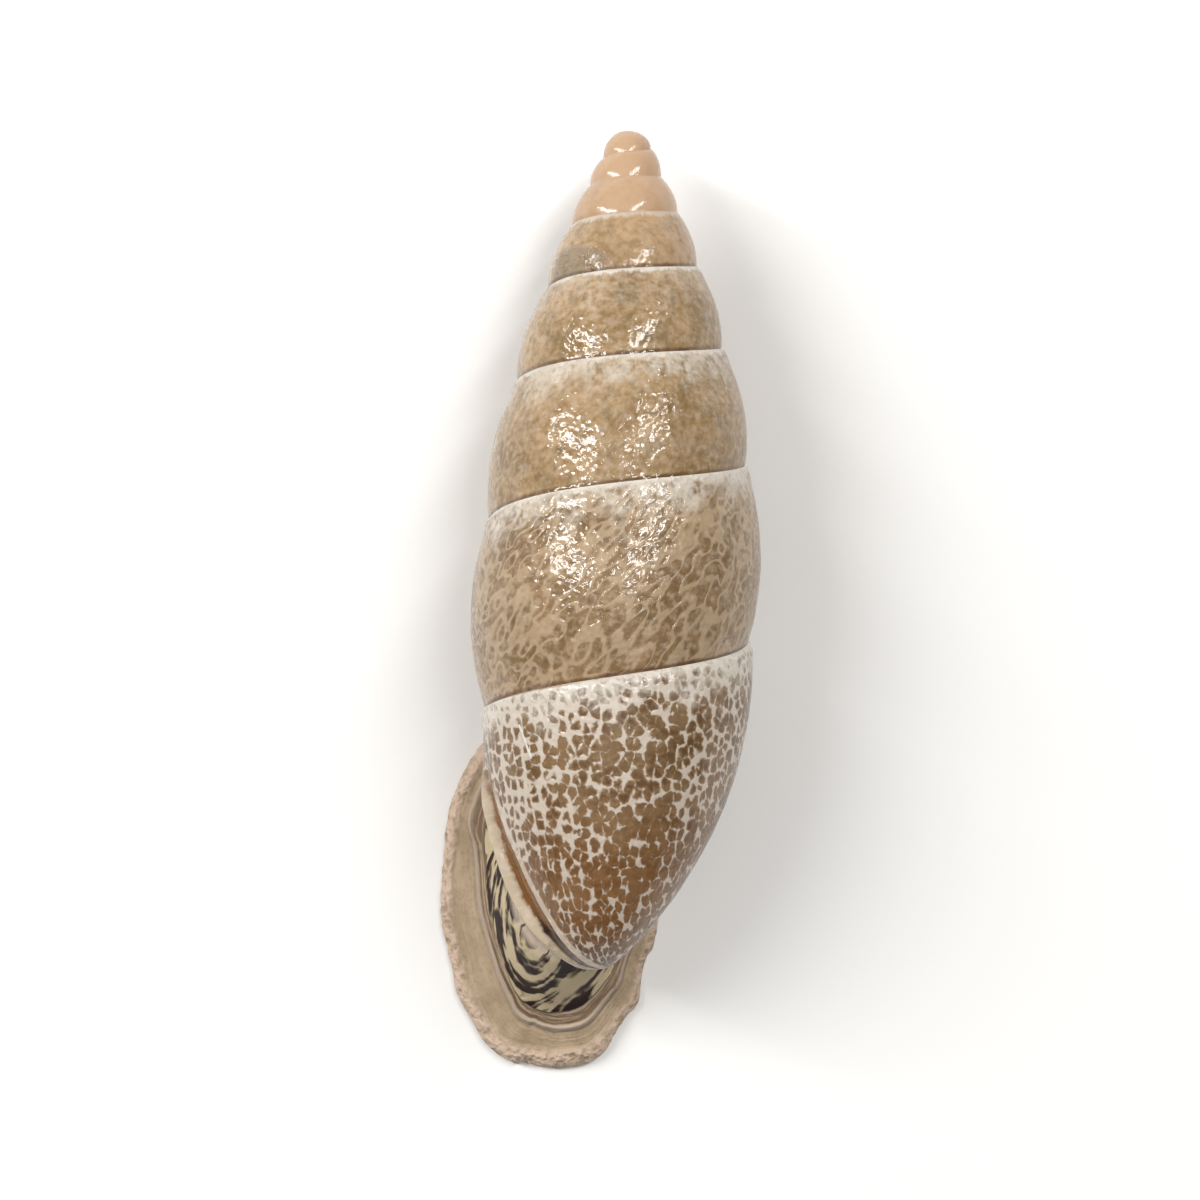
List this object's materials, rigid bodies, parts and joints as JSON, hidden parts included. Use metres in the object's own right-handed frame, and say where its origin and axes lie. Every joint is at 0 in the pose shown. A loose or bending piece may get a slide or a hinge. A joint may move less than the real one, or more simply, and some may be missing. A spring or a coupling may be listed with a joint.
{
  "type": "land snail shell",
  "caption": "Slender spindle-shaped land-snail shell with a netted back and a broad turned-out lip, lying mouth side down.",
  "frame": {"origin": "on the surface the shell lies on, below the middle of its bounding box", "axes": "+Y along the shell towards the apex, +Z out of the shell's back, +X to the right seen from above with the apex away"},
  "size_m": [0.0102, 0.0308, 0.0091],
  "materials": {
    "shell": "glossy brown with a cream network and a matt beige lip"
  },
  "bodies": {
    "root": {"shell": "shell"}
  },
  "joints": []
}
